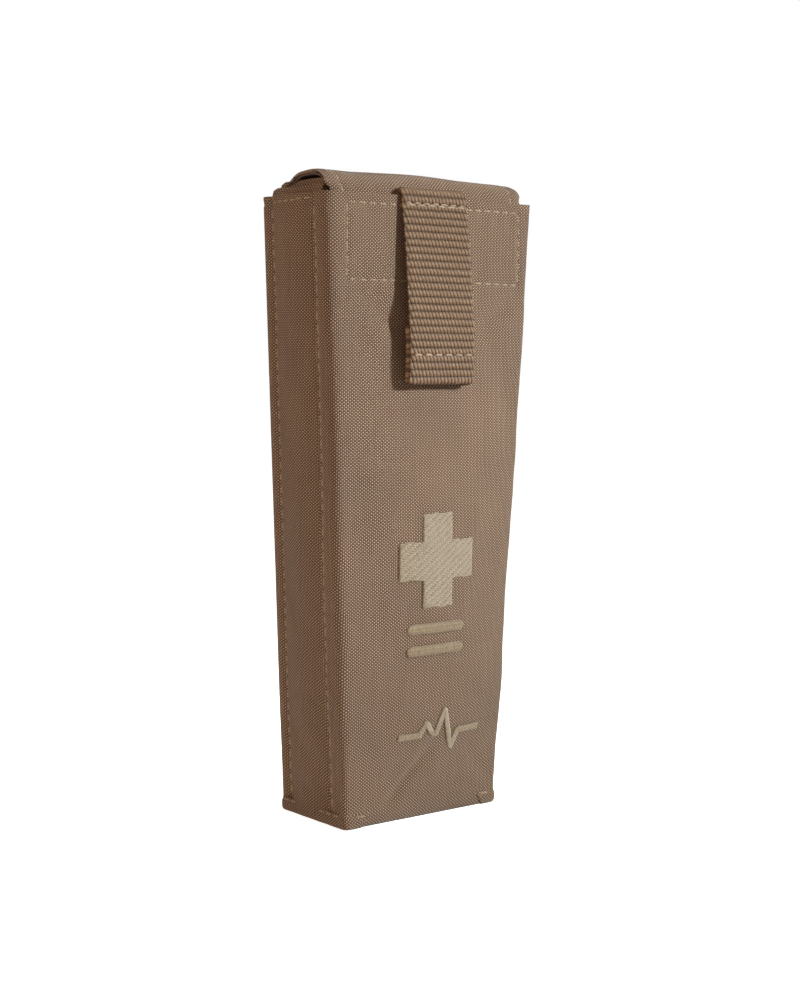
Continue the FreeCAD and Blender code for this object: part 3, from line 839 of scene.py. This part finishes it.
def lidSurface(depth):
    def surface(a, b):
        centre = along(lidLine, lidLength, b)
        ahead = along(lidLine, lidLength, min(b + 0.4, lidLength))
        behind = along(lidLine, lidLength, max(b - 0.4, 0))
        run = (ahead - behind).normalized()
        out = Vector((0, run.z, -run.y))
        top = easeStep(b, 6, 14) * (1 - easeStep(b, lidLength - 26, lidLength - 18))
        edge = lidHalfAt(b) - abs(a)
        aside = a / lid["halfRear"]
        lift = -depth - top * (0.5 * aside ** 2 + 0.3 * clamp(-aside, -1, 1))
        lift += top * (0.35 * wave(a, b, 20, 100) + 0.12 * wave(a, b, 7, 101))
        if depth == 0:
            lift -= 0.28 * hump(edge - lid["seam"], 0.7) * easeStep(b, 4, 8)
            lift += 0.12 * wave(b, a * 0.5, 3.5, 102) * hump(edge - lid["seam"], 3.0)
        lift -= 0.5 * hump(edge, 1.3)
        spot = centre + out * lift
        return lid["shift"] * top - a, spot.y, spot.z
    return surface


def lidSpread(start, end, inset):
    def spread(u, v):
        b = start + (end - start) * v
        return (2 * u - 1) * (lidHalfAt(b) - inset), b
    return spread


lidParts = (
    ("lidTop", 0.0, lid["cut"], 30, "lid_outer", lidRoot, ("pouch", "lid")),
    ("lidTuck", lid["cut"], lidLength, 90, "leaf_outer", lidFold, ("lid", "lid_leaf")),
)
for name, start, end, rows, node, bendZone, bodies in lidParts:
    outer = clothSheet(name, 110, rows, lidSpread(start, end, 0.0), lidSurface(0.0),
                       lid["outerThickness"], shellNylon)
    liningNode = "lid_lining" if name == "lidTop" else "leaf_lining"
    lining = clothSheet(name + "Lining", 60, rows, lidSpread(start, end - 0.4, 0.7),
                        lidSurface(lid["outerThickness"] + 0.06), lid["liningThickness"],
                        liningNylon, edge=0.15)
    for piece, replaced, slotName in ((outer, node, "shell_cloth"),
                                      (lining, liningNode, "lining_cloth")):
        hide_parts(replaced)
        place(*bendZone[0])
        place(*bendZone[1])
        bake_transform(piece)

hook = {"half": 30.8, "start": lidLength - 18.8, "end": lidLength - 1.4, "thickness": 0.6,
        "depth": 0.62}


def hookSpread(u, v):
    return (2 * u - 1) * hook["half"], hook["start"] + (hook["end"] - hook["start"]) * v


def hookSurface(a, b):
    x, y, z = lidSurface(-hook["depth"])(a, b)
    return x, y + 0.12 * wave(a, b, 0.9, 110), z


hookTape = clothSheet("hookTape", 110, 40, hookSpread, hookSurface, hook["thickness"], hookPile,
                      edge=0.15)
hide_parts("hook_tape")
place(*lidFold[0])
place(*lidFold[1])
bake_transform(hookTape)
print("lid done")


# Webbing pieces share one cross section: ribs across, a slightly rounded edge
def webbingSurface(line, length, thickness, width, lean=0.0):
    def surface(a, b):
        centre = along(line, length, b)
        ahead = along(line, length, min(b + 0.3, length))
        behind = along(line, length, max(b - 0.3, 0))
        run = (ahead - behind).normalized()
        out = Vector((0, run.z, -run.y))
        ribs = 0.2 * abs(math.sin(math.pi * b / webbingWeave["rib"])) ** 0.7
        floats = b / webbingWeave["rib"]
        slant = a / webbingWeave["column"]
        slant += webbingWeave["slant"] * (floats % 1) + 0.5 * int(floats)
        ribs += 0.12 * abs(math.sin(math.pi * slant)) * abs(math.sin(math.pi * floats))
        edge = width / 2 - abs(a)
        lift = thickness / 2 - 0.2 + ribs * clamp(edge / 0.8) - 0.3 * hump(edge, 0.7)
        spot = centre + out * lift
        aside = lean * easeStep(tab["leanFrom"] - spot.z, 0, 60)
        return centre.x - aside - a, spot.y, spot.z
    return surface


def webbingStrip(name, line, width, thickness, columns, rows, lean=0.0):
    length = sum((q - p).length for p, q in zip(line, line[1:]))
    surface = webbingSurface(line, length, thickness, width, lean)
    return clothSheet(name, columns, rows, lambda u, v: ((2 * u - 1) * width / 2, length * v),
                      surface, thickness - 0.1, nylonWebbing, edge=0, evenWall=False)


# Pull tab: sewn behind the front hem, over the top edge, stitched, hanging, and turned back
tab = {
    "width": 24.3, "thickness": 1.5, "lean": 0.6, "leanFrom": 181, "aside": -0.8,
    "line": ((0, -29.2, 180.0), (0, -29.15, 184.2), (0, -29.6, 186.7), (0, -30.5, 187.4),
             (0, -31.6, 186.7), (0, -32.0, 184.9), (0, -32.0, 183.2), (0, -32.5, 180.9),
             (0, -33.4, 175.5), (0, -34.9, 164.0), (0, -36.6, 150.0),
             (0, -37.4, 141.0), (0, -37.45, 134.0), (0, -37.3, 132.2), (0, -36.5, 131.5),
             (0, -35.85, 132.6), (0, -35.8, 140.5), (0, -35.2, 148.0)),
    "bendStart": (0, -31.9, 183.0), "bendEnd": (0, -34.07, 181.75),
    "crossStitch": 139.7, "anchorStitch": 183.4,
}
tabLine, tabLength = smoothLine([(x + tab["aside"], y, z) for x, y, z in tab["line"]], 260)
pullTab = webbingStrip("pullTab", tabLine, tab["width"], tab["thickness"], 84, 300, tab["lean"])
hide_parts("tab_anchor", "pull_tab", "pull_tab_fold")
place(*tab["bendStart"])
place(*tab["bendEnd"])
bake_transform(pullTab)
print("pull tab done")

# Belt strap: sewn high on the back, hanging behind the rows, with a turned-up end for the stud
strap = {
    "width": 25.0, "thickness": 1.3,
    "line": ((0, 0.75, 181.6), (0, 0.8, 176.5), (0, 2.1, 171.8), (0, 3.15, 167.5),
             (0, 3.2, 120.0), (0, 3.2, 60.0), (0, 3.2, 14.0), (0, 3.35, 11.0), (0, 3.95, 10.4),
             (0, 4.55, 11.0), (0, 4.62, 14.0), (0, 4.6, 37.6)),
    "bendStart": (0, 2.6, 170.4), "bendEnd": (0, 3.2, 166.8), "endStitch": 35.5,
}
strapLine, strapLength = smoothLine(strap["line"], 320)
beltStrap = webbingStrip("beltStrap", strapLine, strap["width"], strap["thickness"], 44, 420)
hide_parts("strap_anchor", "strap_webbing", "strap_end_fold")
place(*strap["bendStart"])
place(*strap["bendEnd"])
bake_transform(beltStrap)

# Belt rows: webbing sewn flat at both ends and lifted over the strap's column
beltRow = {
    "half": 26.0, "tall": 12.5, "column": 19.0, "lift": 0.7, "proud": 1.3,
    "tacks": (2.6, 3.4),                                 # lines of stitches beside the column
}


def rowSurface(middle):
    def surface(a, b):
        x, run = -b, a
        pastColumn = abs(x) - beltRow["column"]
        lifted = beltRow["lift"] * (1 - easeStep(pastColumn, -1.5, 1.5))
        ribs = 0.2 * abs(math.sin(math.pi * b / webbingWeave["rib"])) ** 0.7
        edge = min(beltRow["tall"] - abs(run), beltRow["half"] - abs(x))
        out = beltRow["proud"] + lifted + (ribs - 0.2) * clamp(edge / 0.8) - 0.3 * hump(edge, 0.7)
        out -= 0.3 * hump(pastColumn - beltRow["tacks"][0], 0.9)
        return x, out, middle + run
    return surface


for rowName in ("upper", "middle", "lower"):
    low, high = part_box("molle_row_" + rowName)
    row = clothSheet("beltRow" + rowName.capitalize(), 50, 150,
                     lambda u, v: ((2 * u - 1) * beltRow["tall"], (2 * v - 1) * beltRow["half"]),
                     rowSurface((low.z + high.z) / 2 / mm), 1.2, nylonWebbing, edge=0,
                     evenWall=False)
    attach(row, "pouch")
    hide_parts("molle_row_" + rowName)
print("strap and rows done")


# Turned metal parts: a profile spun round its axis. radius, height pairs, outside upwards.
def spunPart(name, profile, centre, axis, material, steps=48):
    deselectAll()
    bpy.ops.mesh.primitive_plane_add(size=1)
    part = bpy.context.object
    part.name = name
    bpy.ops.object.mode_set(mode="EDIT")
    bpy.ops.mesh.select_mode(type="VERT")
    bpy.ops.mesh.select_all(action="SELECT")
    bpy.ops.mesh.merge(type="CENTER")                    # one vertex, drawn along the profile
    last = (0.0, 0.0)
    for i, (radius, height) in enumerate(profile):
        move = ((radius - last[0]) * mm, 0, (height - last[1]) * mm)
        if i == 0:
            bpy.ops.transform.translate(value=move)
        else:
            bpy.ops.mesh.extrude_region_move(TRANSFORM_OT_translate={"value": move})
        last = (radius, height)
    bpy.ops.mesh.select_all(action="SELECT")
    bpy.ops.mesh.spin(steps=steps, angle=2 * math.pi, center=(0, 0, 0), axis=(0, 0, 1))
    bpy.ops.mesh.select_all(action="SELECT")
    bpy.ops.mesh.remove_doubles(threshold=0.00001)
    bpy.ops.mesh.normals_make_consistent(inside=False)
    bpy.ops.object.mode_set(mode="OBJECT")
    part.rotation_mode = "QUATERNION"
    part.rotation_quaternion = Vector((0, 0, 1)).rotation_difference(Vector(axis))
    part.location = centre
    return settle(part, material, smoothAngle=35)


snapLow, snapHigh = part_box("snap_cap")
snapHeight = (snapLow.z + snapHigh.z) / 2 / mm
metalParts = (
    # name, node, body, slot, profile, depth it starts at, finish
    ("snapCap", "snap_cap", "strap", "snap_metal",
     ((0, 1.35), (2.0, 1.33), (4.2, 1.2), (6.0, 0.92), (6.9, 0.55), (7.2, 0.2), (7.2, 0.05),
      (6.9, -0.1), (2.0, -0.1), (1.9, -2.7), (0, -2.7)), 5.4, enamelledBrass),
    ("snapSocket", "snap_socket", "strap", "snap_metal",
     ((3.05, 0.0), (3.3, 0.0), (3.5, 0.25), (5.4, 0.3), (6.0, 0.55), (6.15, 0.9), (6.15, 1.4),
      (3.3, 1.45), (3.05, 1.3), (3.05, 0.0)), 1.02, nickelPlate),
    ("snapStud", "snap_stud", "pouch", "snap_metal",
     ((1.5, 0.02), (4.9, 0.02), (4.95, 0.3), (4.5, 0.62), (3.0, 0.75), (2.3, 0.95), (2.2, 1.3),
      (2.55, 1.6), (2.5, 1.95), (2.1, 2.1), (1.55, 2.1), (1.5, 0.02)), 0.0, nickelPlate),
    ("snapPost", "snap_post", "pouch", "snap_metal",
     ((0, 0), (4.6, 0.0), (5.3, 0.2), (5.45, 0.5), (5.4, 0.75), (1.48, 0.78), (1.48, 4.25),
      (1.2, 4.35), (0, 4.35)), -3.6, nickelPlate),
)
for name, node, body, slotName, profile, depthAt, finish in metalParts:
    part = spunPart(name, profile, place(0, depthAt, snapHeight), (0, 1, 0), finish)
    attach(part, body)
    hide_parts(node)
eyelet = spunPart("drainEyelet",
                  ((2.55, 0.35), (2.7, 0.14), (3.2, 0.1), (4.6, 0.16), (5.2, 0.32), (5.35, 0.55),
                   (5.2, 0.6), (3.25, 0.6), (3.25, 2.3), (4.0, 2.35), (4.2, 2.55), (3.9, 2.68),
                   (3.0, 2.7), (2.6, 2.55), (2.55, 0.35)),
                  place(0, drain["y"], 0), (0, 0, 1), enamelledBrass)
washer = spunPart("drainWasher", ((3.4, 1.62), (5.3, 1.62), (5.38, 1.9), (5.2, 2.15), (3.4, 2.2),
                                  (3.4, 1.62)), place(0, drain["y"], 0), (0, 0, 1), nickelPlate)
for part, node in ((eyelet, "drain_eyelet"), (washer, "drain_washer")):
    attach(part, "pouch")
    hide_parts(node)
print("metal done")


# One stitch is modelled once: a short round thread whose ends dip into the cloth
deselectAll()
bpy.ops.mesh.primitive_uv_sphere_add(segments=6, ring_count=6, radius=0.5)
stitchShape = bpy.context.object
for vertex in stitchShape.data.vertices:
    t = vertex.co.z * 2
    around = Vector((vertex.co.x, vertex.co.y, 0))
    if around.length > 1e-6:
        around = around.normalized() * math.sqrt(max(0.0, 1 - abs(t) ** 6))
    vertex.co = (t / 2, around.x, around.y)


def layStitch(start, end, normal, radius, dip, lift, flatten=0.8):
    # one copy of the stitch from start to end, in millimetres
    run = end - start
    side = normal.cross(run).normalized()
    copy = stitchShape.data.copy()
    for vertex in copy.vertices:
        t, y, h = vertex.co
        spot = (start + run * (t + 0.5) + side * (y * radius)
                + normal * (h * radius * flatten + lift - dip * (2 * t) ** 2))
        vertex.co = place(*spot)
    thread = bpy.data.objects.new("thread", copy)
    bpy.context.collection.objects.link(thread)
    return thread


sewing = {"long": 3.0, "gap": 0.6, "radius": 0.27, "dip": 0.4, "lift": 0.16}


def sewLine(surface, corners, jitter=0.06):
    # corners are (a, b) on the surface; the thread turns at each one
    threads = []
    for (a0, b0), (a1, b1) in zip(corners, corners[1:]):
        length = (Vector(surface(a1, b1)) - Vector(surface(a0, b0))).length
        count = max(1, round(length / (sewing["long"] + sewing["gap"])))
        for i in range(count):
            gap = sewing["gap"] / 2 / length
            t0, t1 = i / count + gap, (i + 1) / count - gap
            slip = random.uniform(-jitter, jitter)
            nod = random.uniform(-jitter, jitter)
            p, n = pointAndNormal(surface, a0 + (a1 - a0) * t0, b0 + (b1 - b0) * t0)
            q, _ = pointAndNormal(surface, a0 + (a1 - a0) * t1, b0 + (b1 - b0) * t1)
            side = n.cross(q - p).normalized()
            threads.append(layStitch(p + side * slip, q + side * nod, n, sewing["radius"],
                                     sewing["dip"], sewing["lift"]))
    return threads


def sewn(name, threads, body, material=None):
    piece = mergePieces(name, threads)
    settle(piece, material or sewingThread, smoothAngle=80)
    if body:
        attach(piece, body)
    return piece


def steps(low, high, count):
    return [low + (high - low) * i / count for i in range(count + 1)]


tapeLeft = front["tapeMiddle"] - front["tapeHalf"]
tapeRight = front["tapeMiddle"] + front["tapeHalf"]
tapeBase, hem = front["tapeBase"], front["hem"]
# one box of stitches holds the hem and the loop tape
threads = sewLine(frontSurface, [(tapeLeft, hem), (tapeRight, hem), (tapeRight, tapeBase),
                                 (tapeLeft, tapeBase), (tapeLeft, hem)])
for side in (-1, 1):
    threads += sewLine(frontSurface, [(side * (frontReach(side, z) - front["seamInset"]), z)
                                      for z in steps(5.6, 181.6, 4)])
sewn("frontStitches", threads, "pouch")

threads = []
for side in (-1, 1):
    sideCloth = gussetSurface(side)
    flange = gusset["flange"] + 0.6                      # in the valley beside the flange
    rearRun = [(-side * flange, z) for z in steps(5.6, 181.4, 4)]
    hemRun = [(-side * r, hem + 0.05 * r) for r in (flange + 0.4, 14, 23.2)]
    threads += sewLine(sideCloth, rearRun) + sewLine(sideCloth, hemRun)
    lipCloth = lipSurface(side)
    turnAt = pouch["depth"] - pouch["cornerLow"]
    lipRun = [(-side * r, base["lipStitch"])
              for r in (1.5, 15, turnAt - 0.5, turnAt + 5, lipEnd() - 1.2)]
    threads += sewLine(lipCloth, lipRun)
sewn("sideStitches", threads, "pouch")

# back: round the stiffener's channel, both ends of each belt row, and the strap's sewn root
threads = []
inset, top = back["channel"] - 1.6, back["top"]
channel = [(taperHalf(z) - inset, z) for z in steps(inset, top - inset, 3)]
threads += sewLine(backSurface, channel + [(-a, z) for a, z in reversed(channel)] + channel[:1])
for rowName in ("upper", "middle", "lower"):
    low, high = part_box("molle_row_" + rowName)
    cloth = rowSurface((low.z + high.z) / 2 / mm)
    for tack in beltRow["tacks"]:
        for side in (-1, 1):
            x = side * (beltRow["column"] + tack)
            threads += sewLine(cloth, [(-11.4, x), (11.4, x)])
strapCloth = webbingSurface(strapLine, strapLength, strap["thickness"], strap["width"])
threads += sewLine(strapCloth, [(-10.8, 1.4), (10.8, 1.4), (10.8, 5.2), (-10.8, 5.2),
                                (-10.8, 1.4)])
sewn("backStitches", threads, "pouch")

# lid: side topstitching, and the box that holds the hook tape
lidCloth = lidSurface(0.0)
threads = []
for side in (-1, 1):
    threads += sewLine(lidCloth, [(side * (lidHalfAt(b) - lid["seam"]), b)
                                  for b in steps(5.5, lid["cut"], 2)])
lidStitches = sewn("lidStitches", threads, None)
place(*lidRoot[0])
place(*lidRoot[1])
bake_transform(lidStitches)
threads = []
for side in (-1, 1):
    threads += sewLine(lidCloth, [(side * (lidHalfAt(b) - lid["seam"]), b)
                                  for b in steps(lid["cut"], lidLength - 2.2, 6)])
threads += sewLine(lidCloth, [(-30, hook["start"] + 1), (30, hook["start"] + 1)])
threads += sewLine(lidCloth, [(-31, lidLength - 2.2), (31, lidLength - 2.2)])
tuckStitches = sewn("tuckStitches", threads, None)
place(*lidFold[0])
place(*lidFold[1])
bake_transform(tuckStitches)

# pull tab: across its sewn end, and across the turned-back end
tabCloth = webbingSurface(tabLine, tabLength, tab["thickness"], tab["width"], tab["lean"])


def distanceAt(line, length, height, after, before=None):
    # how far along the line it comes to that height, between two of its points
    best = min((abs(p.z - height), i) for i, p in enumerate(line[:before]) if i > after)
    return length * best[1] / (len(line) - 1)


anchorAt = distanceAt(tabLine, tabLength, tab["anchorStitch"], 30)
crossAt = distanceAt(tabLine, tabLength, tab["crossStitch"], 60, 215)
threads = sewLine(tabCloth, [(-11.8, anchorAt), (11.8, anchorAt)])
threads += sewLine(tabCloth, [(-11.2, anchorAt + 0.7), (11.2, anchorAt + 0.7)])
sewn("tabAnchorStitches", threads, "pouch")
threads = sewLine(tabCloth, [(-11.4, crossAt), (11.4, crossAt)])
sewn("tabEndStitches", threads, "tab")
# strap's turned end
foldAt = distanceAt(strapLine, strapLength, strap["endStitch"], 290)
threads = sewLine(strapCloth, [(-11, foldAt), (11, foldAt)])
sewn("strapEndStitches", threads, "strap")
print("stitching done")


# Embroidery: hundreds of thread floats lying on the front cloth
embroidery = {
    "float": 3.3, "pitch": 0.5, "radius": 0.27, "tilt": 5.0, "lift": 0.3, "dip": 0.14,
    "armHalf": 5.7, "margin": 3, "shortest": 0.7, "underlay": 0.5,
    "satinPitch": 0.42, "barTall": 3.4, "lineHalf": 1.05, "lineSlant": 0.35, "lineRise": 7.0,
}
crossLow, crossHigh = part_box("cross_embroidery")
barLow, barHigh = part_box("bar_embroidery")
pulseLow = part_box("pulse_embroidery")[0]


def floatOver(a0, b0, a1, b1, lift=0.0):
    p, n = pointAndNormal(frontSurface, a0, b0)
    q, _ = pointAndNormal(frontSurface, a1, b1)
    return layStitch(p, q, n, embroidery["radius"], embroidery["dip"],
                     embroidery["lift"] + lift, flatten=0.95)


crossHalf = (crossHigh.x - crossLow.x) / 2 / mm
crossMiddle = (crossHigh.z + crossLow.z) / 2 / mm
armHalf = embroidery["armHalf"]
tilt = math.tan(math.radians(embroidery["tilt"]))
threads = []
rows = int(2 * (crossHalf + embroidery["margin"]) / embroidery["pitch"])
for row in range(rows):
    base0 = -crossHalf - embroidery["margin"] + row * embroidery["pitch"]
    shift = (row % 4) * embroidery["float"] / 4
    for k in range(-7, 8):
        a0 = k * embroidery["float"] + shift - embroidery["float"] / 2
        a1 = a0 + embroidery["float"] + 0.2
        middle = base0 + (a0 + a1) / 2 * tilt
        reach = crossHalf if abs(middle) < armHalf else armHalf
        if abs(middle) > crossHalf:
            continue
        a0, a1 = max(a0, -reach), min(a1, reach)
        if a1 - a0 < embroidery["shortest"]:
            continue
        ragged = random.uniform(-0.12, 0.12)
        threads.append(floatOver(a0 + ragged, crossMiddle + base0 + a0 * tilt,
                                 a1 + ragged, crossMiddle + base0 + a1 * tilt,
                                 lift=random.uniform(-0.03, 0.05)))
underlays = []
for across, tall in ((crossHalf - 0.4, armHalf - 0.4), (armHalf - 0.4, crossHalf - 0.4)):
    underlays.append(clothSheet(
        "underlay", 40, 40, lambda u, v: ((2 * u - 1) * across, crossMiddle + (2 * v - 1) * tall),
        lambda a, b: Vector(frontSurface(a, b)) + Vector((0, -0.3, 0)), embroidery["underlay"],
        embroideryThread, edge=0))
cross = sewn("crossEmbroidery", threads + underlays, "pouch", embroideryThread)
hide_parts("cross_embroidery")

# two plain bars in satin stitch, closed floats across each bar
barHalf, barTall = (barHigh.x - barLow.x) / 2 / mm, embroidery["barTall"]
threads = []
for middle in (barLow.z / mm + barTall / 2, barHigh.z / mm - barTall / 2):
    a = -barHalf + 0.25
    while a < barHalf:
        inner = barHalf - barTall / 2
        beyond = max(0.0, abs(a) - inner)
        tall = math.sqrt(max(0.0, (barTall / 2) ** 2 - beyond ** 2))
        if tall > 0.35:
            threads.append(floatOver(a - 0.15, middle - tall, a + 0.15, middle + tall,
                                     lift=random.uniform(0.02, 0.1)))
        a += embroidery["satinPitch"]
bars = sewn("barEmbroidery", threads, "pouch", embroideryThread)
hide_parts("bar_embroidery")

# zigzag pulse line in satin stitch
pulseMiddle = pulseLow.z / mm + embroidery["lineRise"]
pulseLine = ((-12.0, -1.0), (-4.5, -1.0), (-2.0, 2.5), (0.5, -1.0), (2.0, -1.0),
             (5.0, 6.0), (8.0, -6.0), (10.5, -1.0), (19.0, -1.0))
threads = []
for (x0, z0), (x1, z1) in zip(pulseLine, pulseLine[1:]):
    run = Vector((x1 - x0, z1 - z0))
    across = Vector((-run.y, run.x)).normalized() * embroidery["lineHalf"]
    across = across + run.normalized() * embroidery["lineSlant"]
    count = max(2, round(run.length / embroidery["satinPitch"]))
    for i in range(count + 1):
        spot = Vector((x0, z0)) + run * (i / count)
        p, q = spot - across, spot + across
        threads.append(floatOver(p.x, pulseMiddle + p.y, q.x, pulseMiddle + q.y,
                                 lift=random.uniform(0.0, 0.08)))
pulse = sewn("pulseEmbroidery", threads, "pouch", embroideryThread)
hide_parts("pulse_embroidery")
bpy.data.objects.remove(stitchShape)
print("embroidery done")


# Plain pale floor, soft light, and the camera
stage = {
    "floorSize": 8.0, "fill": 0.22, "floorGlow": 0.1, "floorSeen": 0.85,
    # each light's name, place, aim, size, watts, colour and spread
    "lights": (
        ("keyLight", (0.86, -1.12, 0.72), (0, 0, 0.12), 0.14, 0.52, "#e6f4ff", 17.5),
        ("sideLight", (-1.2, -0.2, 0.45), (0, 0, 0.11), 0.8, 6.8, "#ffe2c9", 180),
        ("topLight", (0.2, 0.1, 1.2), (0, 0, 0.15), 0.4, 4.2, "#ffffff", 180)),
}
deselectAll()
bpy.ops.mesh.primitive_plane_add(size=stage["floorSize"], location=(0, 0, 0))
floor = bpy.context.object
floor.name = "floor"
floorMaterial, floorTree, floorSurface = newMaterial("paintedFloor", {
    "Base Color": toLinear("#f4f4f3"), "Roughness": 0.9, "Emission Color": toLinear("#ffffff")})
floorPaths = addNode(floorTree, "ShaderNodeLightPath")
floorGlow = addNode(floorTree, "ShaderNodeMapRange",
                    {"To Min": stage["floorGlow"], "To Max": stage["floorSeen"]},
                    {"Value": floorPaths.outputs["Is Camera Ray"]})
floorTree.links.new(floorGlow.outputs[0], floorSurface.inputs["Emission Strength"])
floor.data.materials.append(floorMaterial)

world = bpy.data.worlds.new("softBox")
world.use_nodes = True
worldTree = world.node_tree
worldTree.nodes.clear()
paths = addNode(worldTree, "ShaderNodeLightPath")
# seen white, but lighting the cloth by about a fifth of that, so that the lights shape it
fill = addNode(worldTree, "ShaderNodeBackground",
               {"Color": toLinear("#fff3e8"), "Strength": stage["fill"]})
seen = addNode(worldTree, "ShaderNodeBackground", {"Color": toLinear("#ffffff"), "Strength": 1.0})
mixed = addNode(worldTree, "ShaderNodeMixShader", {}, {0: paths.outputs["Is Camera Ray"],
                1: fill.outputs[0], 2: seen.outputs[0]})
addNode(worldTree, "ShaderNodeOutputWorld", links={"Surface": mixed.outputs[0]})
bpy.context.scene.world = world
bpy.context.scene.view_settings.view_transform = "Standard"

for name, spot, aim, size, watts, colour, spread in stage["lights"]:
    deselectAll()
    bpy.ops.object.light_add(type="AREA", location=spot)
    light = bpy.context.object
    light.name = name
    light.data.size = size
    light.data.energy = watts
    light.data.color = toLinear(colour)[:3]
    light.data.spread = math.radians(spread)
    light.rotation_mode = "QUATERNION"
    light.rotation_quaternion = (Vector(aim) - Vector(spot)).to_track_quat("-Z", "Y")

view = {"azimuth": -38.3, "elevation": 5.55, "distance": 0.541, "aim": (0.0021, 0, 0.0952),
        "lens": 63.9, "roll": 1.02}
azimuth, elevation = math.radians(view["azimuth"]), math.radians(view["elevation"])
backwards = Vector((math.sin(azimuth) * math.cos(elevation),
                    -math.cos(azimuth) * math.cos(elevation), math.sin(elevation)))
deselectAll()
bpy.ops.object.camera_add(location=Vector(view["aim"]) + backwards * view["distance"])
camera = bpy.context.object
camera.data.sensor_width = 36.0
camera.data.lens = view["lens"]
camera.data.clip_start = 0.01
camera.rotation_mode = "QUATERNION"
level = (-backwards).to_track_quat("-Z", "Y")
roll = Matrix.Rotation(math.radians(view["roll"]), 3, "Z")
camera.rotation_quaternion = level @ roll.to_quaternion()
bpy.context.scene.camera = camera

print("stage ready")
